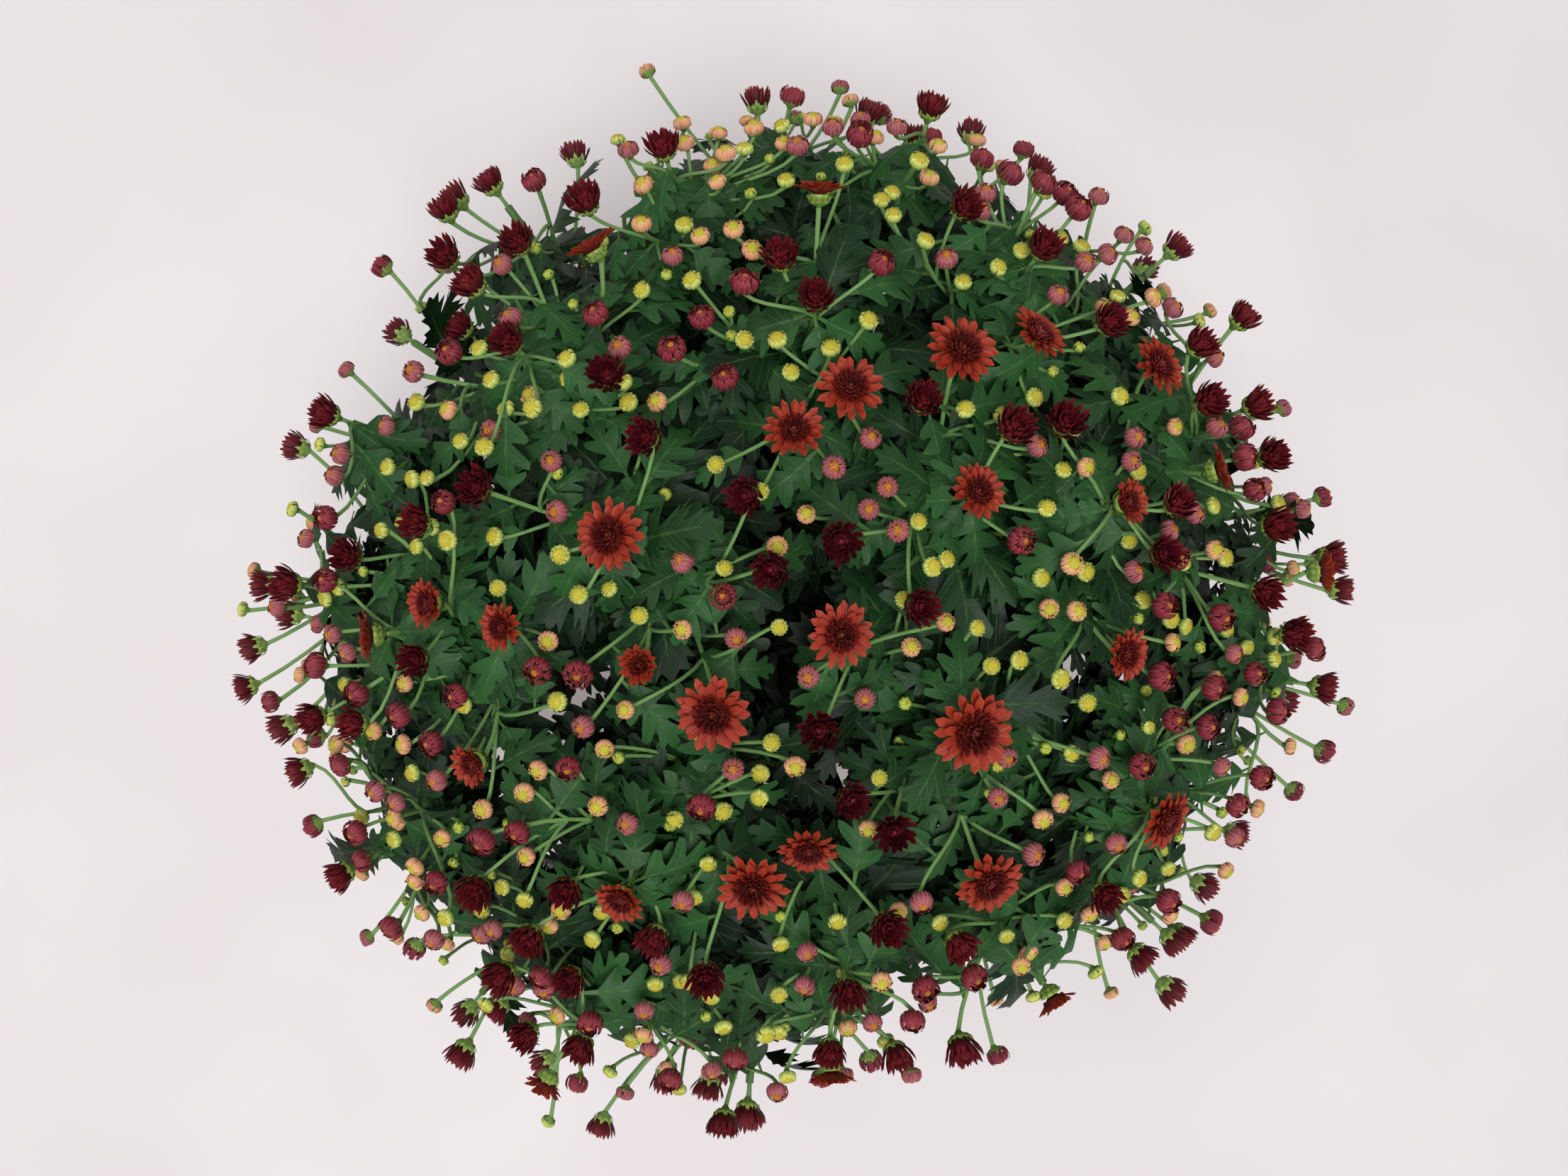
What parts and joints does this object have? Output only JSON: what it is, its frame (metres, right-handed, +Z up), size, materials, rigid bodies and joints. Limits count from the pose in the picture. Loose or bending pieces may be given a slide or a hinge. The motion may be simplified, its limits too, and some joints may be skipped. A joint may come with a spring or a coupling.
{
  "type": "potted chrysanthemum",
  "caption": "Cushion-shaped chrysanthemum in a plain round pot of soil: leafy stems fan out to a dome of buds and open red-orange blooms.",
  "frame": {"origin": "centre of the flat underside of the pot", "axes": "+Z up along the pot's axis; +X to the right and +Y to the top of the picture, which looks straight down"},
  "size_m": [0.6424, 0.6217, 0.4679],
  "materials": {
    "pot_plastic": "plain matt terracotta-coloured growers' pot",
    "soil": "damp dark potting compost",
    "foliage": "living leaf, stem and bud, satin dark green",
    "bloom": "soft matt brick-red petals"
  },
  "bodies": {
    "root": {"pot": "pot_plastic", "soil": "soil", "leafy_stem_01": "foliage", "leafy_stem_02": "foliage", "leafy_stem_03": "foliage", "leafy_stem_04": "foliage", "leafy_stem_05": "foliage", "leafy_stem_06": "foliage", "leafy_stem_07": "foliage", "leafy_stem_08": "foliage", "leafy_stem_09": "foliage", "leafy_stem_10": "foliage", "leafy_stem_11": "foliage", "leafy_stem_12": "foliage", "leafy_stem_13": "foliage", "leafy_stem_14": "foliage", "leafy_stem_15": "foliage", "leafy_stem_16": "foliage", "leafy_stem_17": "foliage", "leafy_stem_18": "foliage", "leafy_stem_19": "foliage", "leafy_stem_20": "foliage", "leafy_stem_21": "foliage", "leafy_stem_22": "foliage", "leafy_stem_23": "foliage", "leafy_stem_24": "foliage", "leafy_stem_25": "foliage", "leafy_stem_26": "foliage", "leafy_stem_27": "foliage", "leafy_stem_28": "foliage", "bloom_01": "bloom", "bloom_02": "bloom", "bloom_03": "bloom", "bloom_04": "bloom", "bloom_05": "bloom", "bloom_06": "bloom", "bloom_07": "bloom", "bloom_08": "bloom", "bloom_09": "bloom", "bloom_10": "bloom", "bloom_11": "bloom", "bloom_12": "bloom", "bloom_13": "bloom", "bloom_14": "bloom", "bloom_15": "bloom", "bloom_16": "bloom", "bloom_17": "bloom", "bloom_18": "bloom", "bloom_19": "bloom", "bloom_20": "bloom", "bloom_21": "bloom", "bloom_22": "bloom", "bloom_23": "bloom", "bloom_24": "bloom", "bloom_25": "bloom", "bloom_26": "bloom", "bloom_27": "bloom", "bloom_28": "bloom", "bloom_29": "bloom"}
  },
  "joints": []
}
